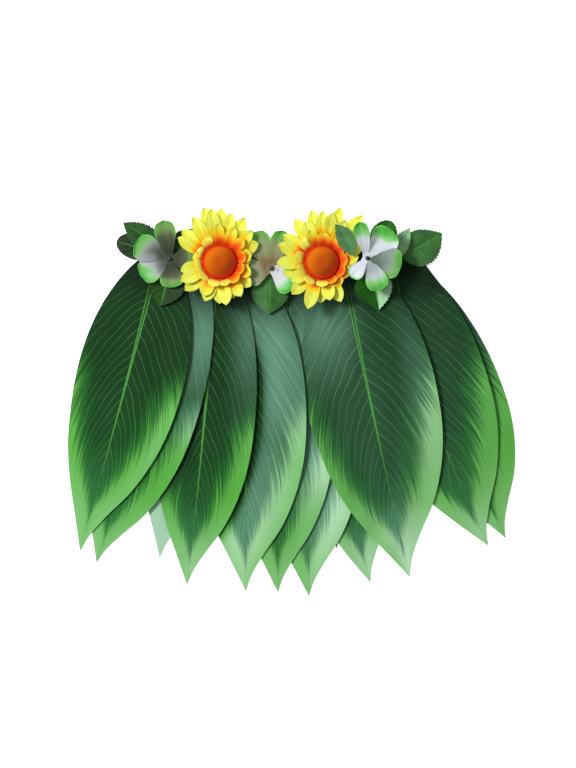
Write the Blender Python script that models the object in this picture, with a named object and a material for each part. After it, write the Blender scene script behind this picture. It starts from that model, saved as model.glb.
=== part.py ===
"""A leaf hula skirt with a flower waistband, laid flat on a table, front side up.

Metres, +Z up. X runs across the skirt, +Y from the leaf tips to the waistband. The origin is on the
table, at the middle of the skirt's outline. The back leaves lie on the table, the flat elastic tube of
the waistband lies on their heads, the front leaves lie on the band and on each other like shingles,
and the small leaves, blossoms and sunflowers are fastened over the front leaves' heads.
"""
import math
from collections import namedtuple

import bpy
import numpy as np

# Cloth walls and the way one layer rests on another
LEAF_WALL = 0.0010
SPRIG_WALL = 0.0010
PETAL_WALL = 0.0010
BAND_WALL = 0.0012
LAYER_STEP = 0.0020      # from one leaf's underside to the underside of the leaf lying on it
SEAM_GAP = 0.0004        # between pieces that touch
EDGE_SHELF = 0.009       # the upper layer stays level this far past a lower edge
FALL_REACH = 0.030       # and has come down to the next layer this far beyond
SPINE_SAMPLES = 161

# Waistband, an elastic tube laid flat
BAND_X = -0.0085         # the middle of its length
BAND_HALF_LENGTH = 0.1345
BAND_HALF_WIDTH = 0.0130
BAND_Y = 0.1385
BAND_SAG = -0.0100       # the ends lie this much nearer the head of the table than the middle
BAND_SLOT = 0.0008       # between the tube's two layers
BAND_EASE = 0.0004       # the leaves' heads arch over the band
BAND_COLUMNS = 34
BAND_FOLD_STEPS = 4

# Long leaves: share of the half width along the midrib, from the head to the tip, at the left edge
# and at the right edge, which is hollow next to the tip
LEAF_LEFT = (
    (0.00, 0.138), (0.05, 0.380), (0.12, 0.605), (0.20, 0.787), (0.30, 0.939), (0.42, 1.020),
    (0.50, 1.018), (0.62, 0.938), (0.72, 0.809), (0.81, 0.603), (0.89, 0.358), (0.95, 0.162), (1.00, 0.0),
)
LEAF_RIGHT = (
    (0.00, 0.252), (0.05, 0.475), (0.12, 0.647), (0.20, 0.820), (0.30, 0.950), (0.42, 1.017),
    (0.50, 1.018), (0.62, 0.956), (0.72, 0.808), (0.81, 0.583), (0.89, 0.285), (0.95, 0.093), (1.00, 0.0),
)
LEAF_PROFILE = (LEAF_LEFT, LEAF_RIGHT)
# Small leaves, which are oval with a short point or a blunt end
SPRIG_EDGE = (
    (0.00, 0.20), (0.10, 0.54), (0.25, 0.86), (0.42, 1.00), (0.60, 0.93), (0.75, 0.72),
    (0.88, 0.40), (0.96, 0.15), (1.00, 0.0),
)
SPRIG_PROFILE = (SPRIG_EDGE, SPRIG_EDGE)
BLUNT_EDGE = (
    (0.00, 0.20), (0.10, 0.50), (0.25, 0.78), (0.45, 0.98), (0.62, 1.00), (0.78, 0.86),
    (0.90, 0.60), (0.97, 0.30), (1.00, 0.0),
)
BLUNT_PROFILE = (BLUNT_EDGE, BLUNT_EDGE)
BLUNT_SPRIGS = ("sprig_leaf_2", "sprig_leaf_7")
# Petals, pointed for the sunflowers and round for the blossoms
POINTED_PETAL = ((0.00, 0.60), (0.25, 0.86), (0.50, 1.00), (0.72, 0.90), (0.90, 0.48), (1.00, 0.0))
ROUND_PETAL = ((0.00, 0.40), (0.30, 0.72), (0.60, 1.00), (0.80, 0.93), (0.94, 0.58), (1.00, 0.0))

# base, bend and tip are plan points of the midrib's curve; left and right are the half widths as seen
# with the tip down; arch lifts the midrib, curl_left and curl_right lift the edges
Leaf = namedtuple("Leaf", "name base bend tip left right arch curl_left curl_right")

# From the lowest to the highest
BACK_LEAVES = (
    Leaf("back_leaf_1", (-0.017, 0.147), (-0.022, -0.008), (-0.030, -0.138), 0.040, 0.040, 0, 0, 0),
    Leaf("back_leaf_2", (-0.127, 0.147), (-0.162, 0.012), (-0.180, -0.098), 0.040, 0.040, 0, 0, 0),
    Leaf("back_leaf_3", (0.093, 0.147), (0.132, 0.022), (0.167, -0.098), 0.042, 0.042, 0, 0, 0),
    Leaf("back_leaf_4", (-0.087, 0.147), (-0.102, -0.008), (-0.1319, -0.1562), 0.042, 0.042, 0, 0, 0),
    Leaf("back_leaf_5", (0.018, 0.147), (0.034, -0.008), (0.0455, -0.1468), 0.040, 0.040, 0, 0, 0),
    Leaf("back_leaf_6", (-0.052, 0.147), (-0.064, -0.008), (-0.076, -0.120), 0.040, 0.040, 0, 0, 0),
    Leaf("back_leaf_7", (0.053, 0.147), (0.076, 0.002), (0.095, -0.128), 0.040, 0.040, 0, 0, 0),
)
FRONT_LEAVES = (
    Leaf("front_leaf_10", (0.0957, 0.1442), (0.1585, -0.0031), (0.2141, -0.1362), 0.0476, 0.0552,
         0.0010, 0, 0.0010),
    Leaf("front_leaf_9", (0.0975, 0.1497), (0.1241, 0.0049), (0.1968, -0.1438), 0.0563, 0.0624,
         0.0015, 0, 0.0030),
    Leaf("front_leaf_7", (0.0325, 0.1480), (0.0470, -0.0590), (0.0790, -0.1804), 0.0411, 0.0446,
         0.0010, 0, 0.0010),
    Leaf("front_leaf_6", (0.0220, 0.1470), (0.0187, -0.0430), (0.0175, -0.1946), 0.0507, 0.0522,
         0.0010, 0, 0.0025),
    Leaf("front_leaf_5", (0.0, 0.1475), (-0.0100, -0.0352), (-0.0135, -0.1908), 0.0502, 0.0518,
         0.0010, 0, 0.0025),
    Leaf("front_leaf_8", (0.0495, 0.1482), (0.0773, -0.0039), (0.1185, -0.1755), 0.0621, 0.0661,
         0.0020, 0.0020, 0.0040),
    Leaf("front_leaf_4", (-0.0523, 0.1420), (-0.0439, -0.0206), (-0.0455, -0.1895), 0.0522, 0.0601,
         0.0015, 0, 0.0030),
    Leaf("front_leaf_3", (-0.0747, 0.1460), (-0.0852, -0.0299), (-0.1045, -0.1832), 0.0466, 0.0493,
         0.0015, 0, 0.0035),
    Leaf("front_leaf_2", (-0.0992, 0.1536), (-0.1443, -0.0170), (-0.1951, -0.1608), 0.0485, 0.0504,
         0.0015, 0, 0.0035),
    Leaf("front_leaf_1", (-0.1323, 0.1485), (-0.1596, 0.0315), (-0.2115, -0.1494), 0.0501, 0.0551,
         0.0020, 0.0010, 0.0040),
)
FRONT_GRID = (20, 6)     # rows along and columns across
BACK_GRID = (12, 4)
SPRIG_GRID = (6, 4)

# Small serrated leaves round the flowers: drape 1 follows the long leaves and 0 lies on a sunflower,
# lift is the height over that, rise lifts the tip, fold lifts the two halves from the midrib
Sprig = namedtuple("Sprig", "name base bend tip left right drape lift rise fold")
SPRIGS = (
    Sprig("sprig_leaf_2", (-0.1310, 0.1485), (-0.1520, 0.1540), (-0.1750, 0.1608), 0.0135, 0.0130,
          1, -0.0004, 0.0020, 0.0020),
    Sprig("sprig_leaf_1", (-0.1285, 0.1520), (-0.1460, 0.1660), (-0.1680, 0.1790), 0.0115, 0.0140,
          1, 0.0028, 0.0040, 0.0020),
    Sprig("sprig_leaf_3", (-0.1150, 0.1495), (-0.1060, 0.1605), (-0.0990, 0.1730), 0.0120, 0.0120,
          1, -0.0023, 0.0010, 0.0010),
    Sprig("sprig_leaf_4", (-0.1215, 0.1350), (-0.1250, 0.1150), (-0.1310, 0.0955), 0.0180, 0.0190,
          1, -0.0004, 0.0030, 0.0040),
    Sprig("sprig_leaf_5", (-0.0205, 0.1260), (-0.0215, 0.1070), (-0.0225, 0.0875), 0.0185, 0.0185,
          1, -0.0008, 0.0030, 0.0040),
    Sprig("sprig_leaf_10", (0.0785, 0.1310), (0.0830, 0.1140), (0.0871, 0.0918), 0.0200, 0.0175,
          1, -0.0004, 0.0030, 0.0040),
    Sprig("sprig_leaf_9", (0.1090, 0.1475), (0.1300, 0.1540), (0.1500, 0.1690), 0.0200, 0.0170,
          1, -0.0006, 0.0040, 0.0020),
    Sprig("sprig_leaf_7", (0.0835, 0.1490), (0.0885, 0.1640), (0.1005, 0.1803), 0.0135, 0.0125,
          1, -0.0033, 0.0030, 0.0020),
    Sprig("sprig_leaf_6", (0.0606, 0.1455), (0.0552, 0.1630), (0.0430, 0.1757), 0.0089, 0.0088,
          0, 0.0420, 0.0060, 0.0010),
    Sprig("sprig_leaf_8", (0.0970, 0.1420), (0.1080, 0.1550), (0.1180, 0.1740), 0.0090, 0.0090,
          1, 0.0010, 0.0030, 0.0020),
)

# Flowers stand on a stem: lift is the height of the lowest hub over a leaf that would rest there, and
# sink is how far below that the stem's foot reaches.
# One petal: azimuth in degrees from +X, the reach of its tip, its half width and its slope in degrees
Petal = namedtuple("Petal", "azimuth reach half slope")
BLOSSOM_HUB = 0.0050
BLOSSOMS = (
    ("blossom_1", (-0.1214, 0.1426), 0.0060, 0.0007, (
        Petal(99, 0.0388, 0.0105, 14), Petal(157, 0.0374, 0.0138, 12), Petal(210, 0.0335, 0.0125, 12),
        Petal(276, 0.0290, 0.0115, 16), Petal(-2, 0.0250, 0.0135, 18))),
    ("blossom_2", (-0.0198, 0.1331), 0.0060, 0.0028, (
        Petal(118, 0.0405, 0.0130, 6), Petal(72, 0.0395, 0.0100, 6), Petal(5, 0.0185, 0.0120, 26),
        Petal(-42, 0.0300, 0.0125, 14), Petal(193, 0.0255, 0.0135, 12))),
    ("blossom_3", (0.0754, 0.1428), 0.0160, 0.0006, (
        Petal(104, 0.0362, 0.0078, 46), Petal(48, 0.0368, 0.0145, 10), Petal(-12, 0.0345, 0.0150, 10),
        Petal(-68, 0.0345, 0.0110, 14), Petal(230, 0.0255, 0.0080, 30))),
)

# Each sunflower has three rosettes: azimuths and reaches of the petals, in millimetres, and the
# rosettes' half width, the height of their hub, and their slopes on the open and on the closed side
SUNFLOWER_HUB = 0.0175
SUNFLOWER_DISC = (0.0168, 0.0062)
OPEN_SIDE = 75           # the azimuth towards which the petals lie open
Rosette = namedtuple("Rosette", "name half height open_slope closed_slope petals")
SUNFLOWERS = (
    ("sunflower_1", (-0.0714, 0.1394), 0.0110, 0.0020, (
        Rosette("outer", 0.0070, 0.0000, 5, 14, (
            (106, 57), (88, 54), (60, 51), (26, 43), (4, 31), (-38, 40), (-68, 39), (-90, 42),
            (-110, 42), (-140, 45), (-167, 40), (150, 48))),
        Rosette("middle", 0.0070, 0.0016, 10, 24, (
            (121, 52), (99, 54), (76, 50), (43, 45), (13, 33), (-22, 34), (-58, 41), (-81, 44),
            (-116, 38), (-153, 43), (172, 27), (140, 49))),
        Rosette("inner", 0.0060, 0.0032, 24, 62, (
            (92, 38), (66, 37), (42, 33), (12, 27), (-20, 26), (-48, 27), (-75, 25), (-105, 26),
            (-138, 25), (-170, 24), (155, 25), (122, 28))),
    )),
    ("sunflower_2", (0.0301, 0.1390), 0.0105, 0.0008, (
        Rosette("outer", 0.0070, 0.0000, 5, 14, (
            (122, 51), (101, 53), (71, 58), (49, 62), (22, 45), (-5, 36), (-31, 29), (-64, 44),
            (-92, 41), (-133, 44), (-162, 40), (158, 47))),
        Rosette("middle", 0.0070, 0.0016, 10, 24, (
            (89, 51), (78, 50), (60, 48), (35, 44), (8, 37), (-22, 31), (-51, 30), (-78, 39), (-107, 49),
            (-148, 36), (181, 45), (145, 47), (112, 44))),
        Rosette("inner", 0.0060, 0.0032, 24, 62, (
            (111, 34), (86, 30), (62, 28), (35, 25), (5, 26), (-25, 25), (-60, 24), (-90, 25),
            (-125, 26), (-158, 26), (168, 28), (132, 31))),
    )),
)


# Plan curves and shares

def smooth(rows, u):
    """The rows' second column as a smooth curve of the first, read at u."""
    x, y = np.array(rows, float).T
    slope = np.gradient(y, x)
    i = np.clip(np.searchsorted(x, u, side="right") - 1, 0, len(x) - 2)
    step = x[i + 1] - x[i]
    t = (u - x[i]) / step
    start = (2 * t**3 - 3 * t**2 + 1) * y[i] + (t**3 - 2 * t**2 + t) * step * slope[i]
    end = (3 * t**2 - 2 * t**3) * y[i + 1] + (t**3 - t**2) * step * slope[i + 1]
    return np.clip(start + end, 0, None)


def midrib(leaf, u):
    """(points, unit vectors to the leaf's right) of its midrib, in plan."""
    base, bend, tip = (np.array(p) for p in (leaf.base, leaf.bend, leaf.tip))
    u = np.asarray(u, float)[..., None]
    points = (1 - u) ** 2 * base + 2 * u * (1 - u) * bend + u**2 * tip
    along = (1 - u) * (bend - base) + u * (tip - bend)
    along = along / np.linalg.norm(along, axis=-1, keepdims=True)
    return points, np.stack([-along[..., 1], along[..., 0]], axis=-1)


def half_width(leaf, profile, u, s):
    left, right = (smooth(edge, u) for edge in profile)
    return np.where(s < 0, left * leaf.left, right * leaf.right)


def leaf_plan(leaf, profile, u, s):
    """The plan point at share u along the midrib and share s across, -1 at the left edge."""
    points, right = midrib(leaf, u)
    return points + right * (s * half_width(leaf, profile, u, s))[..., None]


def locate(leaf, profile, plan):
    """(u, s, distance outside the leaf) of plan points."""
    samples = np.linspace(0, 1, SPINE_SAMPLES)
    line, right = midrib(leaf, samples)
    away = plan[:, None, :] - line[None, :, :]
    nearest = np.argmin((away**2).sum(axis=2), axis=1)
    away = away[np.arange(len(plan)), nearest]
    side = (away * right[nearest]).sum(axis=1)
    u = samples[nearest]
    half = half_width(leaf, profile, u, side)
    past_edge = np.clip(np.abs(side) - half, 0, None)
    past_end = np.where((nearest == 0) | (nearest == SPINE_SAMPLES - 1),
                        np.sqrt(np.clip((away**2).sum(axis=1) - side**2, 0, None)), 0)
    return u, np.clip(side / np.maximum(half, 1e-4), -1, 1), np.hypot(past_edge, past_end)


# How layers rest on each other

def fall(distance):
    """1 over a layer and its shelf, and down to 0 past that."""
    return 0.5 + 0.5 * np.cos(np.pi * np.clip((distance - EDGE_SHELF) / FALL_REACH, 0, 1))


def own_height(leaf, u, s):
    """How far a leaf stands off what it lies on, from its arch and its curled edges."""
    along = np.sin(np.pi * np.clip(u, 0, 1)) ** 2
    edge = np.where(s < 0, leaf.curl_left, leaf.curl_right) * np.abs(s) ** 3
    return (leaf.arch * (1 - s**2) + edge) * along


def leaf_step(leaf, plan):
    """How much higher this long leaf makes whatever lies over it."""
    u, s, outside = locate(leaf, LEAF_PROFILE, plan)
    return (LAYER_STEP + own_height(leaf, u, s)) * fall(outside)


def band_line(x):
    return BAND_Y - BAND_SAG * ((x - BAND_X) / BAND_HALF_LENGTH) ** 2


def band_step(plan):
    past_end = np.clip(np.abs(plan[:, 0] - BAND_X) - BAND_HALF_LENGTH, 0, None)
    past_edge = np.clip(np.abs(plan[:, 1] - band_line(plan[:, 0])) - BAND_HALF_WIDTH, 0, None)
    height = 2 * BAND_WALL + BAND_SLOT + LAYER_STEP - LEAF_WALL + BAND_EASE
    return height * fall(np.hypot(past_end, past_edge))


def rest_height(plan, leaves, over_band):
    """The height at which a new layer rests on these long leaves and the band."""
    shape = plan.shape[:-1]
    flat = plan.reshape(-1, 2)
    height = sum((leaf_step(leaf, flat) for leaf in leaves), np.zeros(len(flat)))
    if over_band:
        height = height + band_step(flat)
    return height.reshape(shape)


def seat_height(centre, reach):
    """The highest point of the long leaves and the band within reach of a flower's centre."""
    turn = np.linspace(0, 2 * np.pi, 25)[:-1]
    ring = np.column_stack([np.cos(turn), np.sin(turn)])
    plan = np.array(centre) + np.vstack([ring * reach, ring * reach / 2, [(0, 0)]])
    return float(rest_height(plan, BACK_LEAVES + FRONT_LEAVES, True).max())


# Meshes

def material(name, colour, roughness):
    made = bpy.data.materials.get(name)
    if made is None:
        made = bpy.data.materials.new(name)
        made.use_nodes = True
        shader = made.node_tree.nodes["Principled BSDF"]
        shader.inputs["Base Color"].default_value = (*colour, 1)
        shader.inputs["Roughness"].default_value = roughness
        shader.inputs["Metallic"].default_value = 0
    return made


def link_mesh(name, points, faces, finish):
    mesh = bpy.data.meshes.new(name)
    mesh.from_pydata([tuple(p) for p in points], [], faces)
    mesh.materials.append(finish)
    made = bpy.data.objects.new(name, mesh)
    bpy.context.scene.collection.objects.link(made)
    return made


def sheet_object(name, points, faces, wall, finish):
    """A closed wall that stands on this single layer of upward faces."""
    made = link_mesh(name, points, faces, finish)
    thick = made.modifiers.new("wall", "SOLIDIFY")
    thick.thickness = wall
    thick.offset = 1
    thick.use_rim = True
    return made


def leaf_grid(rows, columns):
    """(u, s, faces) of a leaf's grid, closer together towards both ends, ending in one tip point."""
    even = np.linspace(0, 1, rows + 1)
    u = (0.5 * even + 0.25 * (1 - np.cos(np.pi * even)))[:-1]
    u, s = np.meshgrid(u, np.linspace(-1, 1, columns + 1), indexing="ij")
    across = columns + 1
    faces = [
        ((r + 1) * across + c, (r + 1) * across + c + 1, r * across + c + 1, r * across + c)
        for r in range(rows - 1) for c in range(columns)
    ]
    last = (rows - 1) * across
    faces += [(rows * across, last + c + 1, last + c) for c in range(columns)]
    return np.append(u, 1.0), np.append(s, 0.0), faces


def long_leaf(leaf, below, over_band, grid, finish):
    u, s, faces = leaf_grid(*grid)
    plan = leaf_plan(leaf, LEAF_PROFILE, u, s)
    height = rest_height(plan, below, over_band) + own_height(leaf, u, s)
    sheet_object(leaf.name, np.column_stack([plan, height]), faces, LEAF_WALL, finish)


def sprig_leaf(sprig, finish):
    u, s, faces = leaf_grid(*SPRIG_GRID)
    plan = leaf_plan(sprig, BLUNT_PROFILE if sprig.name in BLUNT_SPRIGS else SPRIG_PROFILE, u, s)
    height = sprig.drape * rest_height(plan, BACK_LEAVES + FRONT_LEAVES, True)
    height = height + sprig.lift + sprig.rise * u**2 + sprig.fold * np.abs(s) * np.sin(np.pi * u)
    sheet_object(sprig.name, np.column_stack([plan, height]), faces, SPRIG_WALL, finish)


def waistband(finish):
    """The flat elastic loop: a lower and an upper strip, joined by a fold at each end."""
    middle = (BAND_WALL + BAND_SLOT) / 2
    x = BAND_X + np.linspace(-BAND_HALF_LENGTH + middle, BAND_HALF_LENGTH - middle, BAND_COLUMNS + 1)
    turn = np.linspace(-math.pi / 2, math.pi / 2, BAND_FOLD_STEPS + 1)[1:-1]
    loop = [(px, -middle) for px in x]
    loop += [(x[-1] + middle * math.cos(t), middle * math.sin(t)) for t in turn]
    loop += [(px, middle) for px in x[::-1]]
    loop += [(x[0] - middle * math.cos(t), -middle * math.sin(t)) for t in turn]
    rows = np.linspace(-BAND_HALF_WIDTH, BAND_HALF_WIDTH, 3)
    points = []
    for px, pz in loop:
        for row in rows:
            plan = np.array([[px, band_line(px) + row]])
            ground = rest_height(plan, BACK_LEAVES, False)[0]
            points.append((px, plan[0, 1], ground + BAND_WALL / 2 + middle + pz))
    count = len(loop)
    faces = [
        (3 * i + r, 3 * i + r + 1, 3 * ((i + 1) % count) + r + 1, 3 * ((i + 1) % count) + r)
        for i in range(count) for r in range(2)
    ]
    made = sheet_object("waistband", points, faces, BAND_WALL, finish)
    made.modifiers["wall"].offset = 0


def rosette(name, centre, hub, profile, rows, petals, height, finish):
    """A die-cut ring of petals round a hub. height gives z from the distance, azimuth and share across."""
    petals = sorted(petals, key=lambda p: p.azimuth % 360)
    count = len(petals)
    azimuth = [p.azimuth % 360 for p in petals]
    gap = [((azimuth[(i + 1) % count] - azimuth[i]) % 360) / 2 for i in range(count)]
    points = [(0.0, 0.0, height(0.0, petals[0], 0.0))]
    for i, petal in enumerate(petals):
        for turn in (azimuth[i] - gap[i - 1], azimuth[i]):
            angle = math.radians(turn)
            points.append((hub * math.cos(angle), hub * math.sin(angle), height(hub, petal, 0.0)))
    faces = [(0, 1 + k, 1 + (k + 1) % (2 * count)) for k in range(2 * count)]
    for i, petal in enumerate(petals):
        angle = math.radians(azimuth[i])
        ahead = np.array([math.cos(angle), math.sin(angle)])
        side = np.array([-ahead[1], ahead[0]])
        row = [1 + 2 * i, 2 + 2 * i, 1 + (2 * i + 2) % (2 * count)]
        for u in rows[:-1]:
            r = hub + (petal.reach - hub) * u
            new = []
            for s, limit in ((-1, gap[i - 1]), (0, 90), (1, gap[i])):
                most = r * math.tan(math.radians(min(limit, 80))) - 0.0005
                half = min(float(smooth(profile, u)) * petal.half, most)
                new.append(len(points))
                points.append((*(ahead * r + side * s * half), height(r, petal, s)))
            faces += [(row[k], new[k], new[k + 1], row[k + 1]) for k in (0, 1)]
            row = new
        tip = len(points)
        points.append((*(ahead * petal.reach), height(petal.reach, petal, 0.0)))
        faces += [(row[0], tip, row[1]), (row[1], tip, row[2])]
    points = np.array(points) + (*centre, 0)
    sheet_object(name, points, faces, PETAL_WALL, finish)


def dome(name, centre, base, radius, rise, finish):
    """A closed button with a flat underside."""
    sides = 20
    rings = ((1.0, 0.0), (1.0, 0.25), (0.90, 0.62), (0.60, 0.90))
    points = []
    for share, up in rings:
        for k in range(sides):
            angle = 2 * math.pi * k / sides
            points.append((centre[0] + radius * share * math.cos(angle),
                           centre[1] + radius * share * math.sin(angle), base + rise * up))
    points += [(*centre, base), (*centre, base + rise)]
    under, top = len(points) - 2, len(points) - 1
    faces = []
    for k in range(sides):
        after = (k + 1) % sides
        faces.append((under, after, k))
        for ring in range(len(rings) - 1):
            low, high = ring * sides, (ring + 1) * sides
            faces.append((low + k, low + after, high + after, high + k))
        last = (len(rings) - 1) * sides
        faces.append((last + k, last + after, top))
    link_mesh(name, points, faces, finish)


def stem(name, centre, low, high, foot, head, finish):
    """A short closed plug from the leaves' heads up to the underside of a flower's hub."""
    sides = 16
    points = []
    for z, radius in ((low, foot), ((low + high) / 2, (foot + 2 * head) / 3), (high, head)):
        for k in range(sides):
            angle = 2 * math.pi * k / sides
            points.append((centre[0] + radius * math.cos(angle), centre[1] + radius * math.sin(angle), z))
    faces = [tuple(range(sides))[::-1], tuple(range(2 * sides, 3 * sides))]
    for ring in (0, sides):
        for k in range(sides):
            after = (k + 1) % sides
            faces.append((ring + k, ring + after, ring + sides + after, ring + sides + k))
    link_mesh(name, points, faces, finish)


def blossom(name, centre, lift, sink, petals, petal_finish, eye_finish, stem_finish):
    seat = seat_height(centre, 0.0045)
    base = seat + lift

    def height(r, petal, s):
        past = max(r - BLOSSOM_HUB, 0)
        share = past / (petal.reach - BLOSSOM_HUB)
        rise = past * math.tan(math.radians(petal.slope)) * (1 - 0.25 * share)
        return base + rise + 0.0015 * s * s * share

    rosette(name + "_petals", centre, BLOSSOM_HUB, ROUND_PETAL, (0.3, 0.6, 0.82, 0.94, 1),
            petals, height, petal_finish)
    dome(name + "_eye", centre, base + PETAL_WALL + SEAM_GAP, 0.0022, 0.0020, eye_finish)
    stem(name + "_stem", centre, seat - sink, base - SEAM_GAP, 0.0040, 0.0028, stem_finish)


def sunflower(name, centre, lift, sink, rosettes, petal_finish, disc_finish, stem_finish):
    seat = seat_height(centre, 0.0090)
    base = seat + lift
    for ring in rosettes:
        def height(r, petal, s, ring=ring):
            open_share = 0.5 + 0.5 * math.cos(math.radians(petal.azimuth - OPEN_SIDE))
            slope = ring.closed_slope + (ring.open_slope - ring.closed_slope) * open_share
            past = max(r - SUNFLOWER_HUB, 0)
            cup = 0.0008 * s * s * min(past / 0.010, 1)
            return base + ring.height + past * math.tan(math.radians(slope)) + cup

        petals = [Petal(azimuth, reach / 1000, ring.half, 0) for azimuth, reach in ring.petals]
        rosette(f"{name}_{ring.name}_petals", centre, SUNFLOWER_HUB, POINTED_PETAL, (0.25, 0.55, 0.82, 1),
                petals, height, petal_finish)
    top = base + rosettes[-1].height + PETAL_WALL + SEAM_GAP
    dome(name + "_disc", centre, top, SUNFLOWER_DISC[0], SUNFLOWER_DISC[1], disc_finish)
    stem(name + "_calyx", centre, seat - sink, base - SEAM_GAP, 0.0085, 0.0120, stem_finish)


def main():
    for old in list(bpy.data.objects):
        bpy.data.objects.remove(old, do_unlink=True)
    leaf_back = material("leaf_back", (0.42, 0.55, 0.45), 0.7)
    leaf_print = material("leaf_print", (0.05, 0.22, 0.07), 0.5)
    elastic = material("elastic", (0.02, 0.02, 0.02), 0.8)
    sprig_green = material("sprig_green", (0.04, 0.25, 0.04), 0.35)
    blossom_cloth = material("blossom_cloth", (0.55, 0.75, 0.50), 0.6)
    stem_green = material("stem_green", (0.06, 0.25, 0.05), 0.5)
    blossom_eye = material("blossom_eye", (0.03, 0.03, 0.03), 0.4)
    sunflower_cloth = material("sunflower_cloth", (0.90, 0.62, 0.03), 0.6)
    sunflower_flock = material("sunflower_flock", (0.55, 0.14, 0.01), 0.9)
    for i, leaf in enumerate(BACK_LEAVES):
        long_leaf(leaf, BACK_LEAVES[:i], False, BACK_GRID, leaf_back)
    waistband(elastic)
    for i, leaf in enumerate(FRONT_LEAVES):
        long_leaf(leaf, BACK_LEAVES + FRONT_LEAVES[:i], True, FRONT_GRID, leaf_print)
    for sprig in SPRIGS:
        sprig_leaf(sprig, sprig_green)
    for name, centre, lift, sink, petals in BLOSSOMS:
        blossom(name, centre, lift, sink, petals, blossom_cloth, blossom_eye, stem_green)
    for name, centre, lift, sink, rosettes in SUNFLOWERS:
        sunflower(name, centre, lift, sink, rosettes, sunflower_cloth, sunflower_flock, stem_green)


main()
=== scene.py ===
"""Cloth, print and light of a leaf hula skirt that lies flat on a table, front side up.

The same tables as the solids place each leaf and petal. Every cloth piece is a thin closed shell on a
fine grid, which takes the place of its solid. Metres, +Z up, camera straight above.
"""
import math
from collections import namedtuple

import bpy
import numpy as np
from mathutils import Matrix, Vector


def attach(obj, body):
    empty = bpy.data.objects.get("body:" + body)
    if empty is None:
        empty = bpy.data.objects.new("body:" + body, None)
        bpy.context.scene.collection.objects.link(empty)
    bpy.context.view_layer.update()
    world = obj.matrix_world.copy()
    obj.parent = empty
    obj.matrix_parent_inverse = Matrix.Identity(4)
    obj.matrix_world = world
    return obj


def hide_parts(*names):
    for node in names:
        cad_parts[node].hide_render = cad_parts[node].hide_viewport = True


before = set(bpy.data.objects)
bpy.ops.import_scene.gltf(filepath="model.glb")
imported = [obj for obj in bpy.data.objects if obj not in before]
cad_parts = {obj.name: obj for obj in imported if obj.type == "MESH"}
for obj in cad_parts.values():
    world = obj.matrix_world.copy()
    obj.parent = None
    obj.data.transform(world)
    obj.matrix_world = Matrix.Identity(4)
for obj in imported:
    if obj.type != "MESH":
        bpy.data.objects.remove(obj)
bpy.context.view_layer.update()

LEAF_WALL = 0.0010
LEAF_CLOTH = 0.0005
PETAL_CLOTH = 0.0004
OVERLAP = 0.0025          # how far a petal reaches past the line that parts it from the next
BAND_WALL = 0.0012
LAYER_STEP = 0.0020
SEAM_GAP = 0.0004
EDGE_SHELF = 0.009
FALL_REACH = 0.030
SPINE_SAMPLES = 81
BACK_GRID = (70, 22)      # rows and columns of quads
FRONT_GRID = (110, 36)
SPRIG_GRID = (96, 20)
SPRIG_TEETH = 17
TOOTH_DEPTH = 0.0022
WORN_TOOTH_DEPTH = 0.0002
SPRIG_EASE = 0.0002       # the cloth lies this far above the solid's curve
LEAF_THREAD = 0.0011      # pitch of the weave
PETAL_THREAD = 0.0007

BAND_X = -0.0085
BAND_HALF_LENGTH = 0.1345
BAND_HALF_WIDTH = 0.0130
BAND_Y = 0.1385
BAND_SAG = -0.0100
BAND_SLOT = 0.0008
BAND_EASE = 0.0004
BAND_CLOTH = 0.0008
BAND_WAVE = 0.00012
BAND_WAVE_PITCH = 0.0045
BAND_RIB = 0.0016
BAND_WALE = 0.0011

LEAF_LEFT = (
    (0.00, 0.138), (0.05, 0.380), (0.12, 0.605), (0.20, 0.787), (0.30, 0.939), (0.42, 1.020),
    (0.50, 1.018), (0.62, 0.938), (0.72, 0.809), (0.81, 0.603), (0.89, 0.358), (0.95, 0.162), (1.00, 0.0),
)
LEAF_RIGHT = (
    (0.00, 0.252), (0.05, 0.475), (0.12, 0.647), (0.20, 0.820), (0.30, 0.950), (0.42, 1.017),
    (0.50, 1.018), (0.62, 0.956), (0.72, 0.808), (0.81, 0.583), (0.89, 0.285), (0.95, 0.093), (1.00, 0.0),
)
LEAF_PROFILE = (LEAF_LEFT, LEAF_RIGHT)
SPRIG_EDGE = (
    (0.00, 0.20), (0.10, 0.54), (0.25, 0.86), (0.42, 1.00), (0.60, 0.93), (0.75, 0.72),
    (0.88, 0.40), (0.96, 0.15), (1.00, 0.0),
)
SPRIG_PROFILE = (SPRIG_EDGE, SPRIG_EDGE)
BLUNT_EDGE = (
    (0.00, 0.20), (0.10, 0.50), (0.25, 0.78), (0.45, 0.98), (0.62, 1.00), (0.78, 0.86),
    (0.90, 0.60), (0.97, 0.30), (1.00, 0.0),
)
BLUNT_PROFILE = (BLUNT_EDGE, BLUNT_EDGE)
BLUNT_SPRIGS = ("sprig_leaf_2", "sprig_leaf_7")
POINTED_PETAL = ((0.00, 0.60), (0.25, 0.86), (0.50, 1.00), (0.72, 0.90), (0.90, 0.48), (1.00, 0.0))
ROUND_PETAL = ((0.00, 0.40), (0.30, 0.72), (0.60, 1.00), (0.80, 0.93), (0.94, 0.58), (1.00, 0.0))

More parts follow.
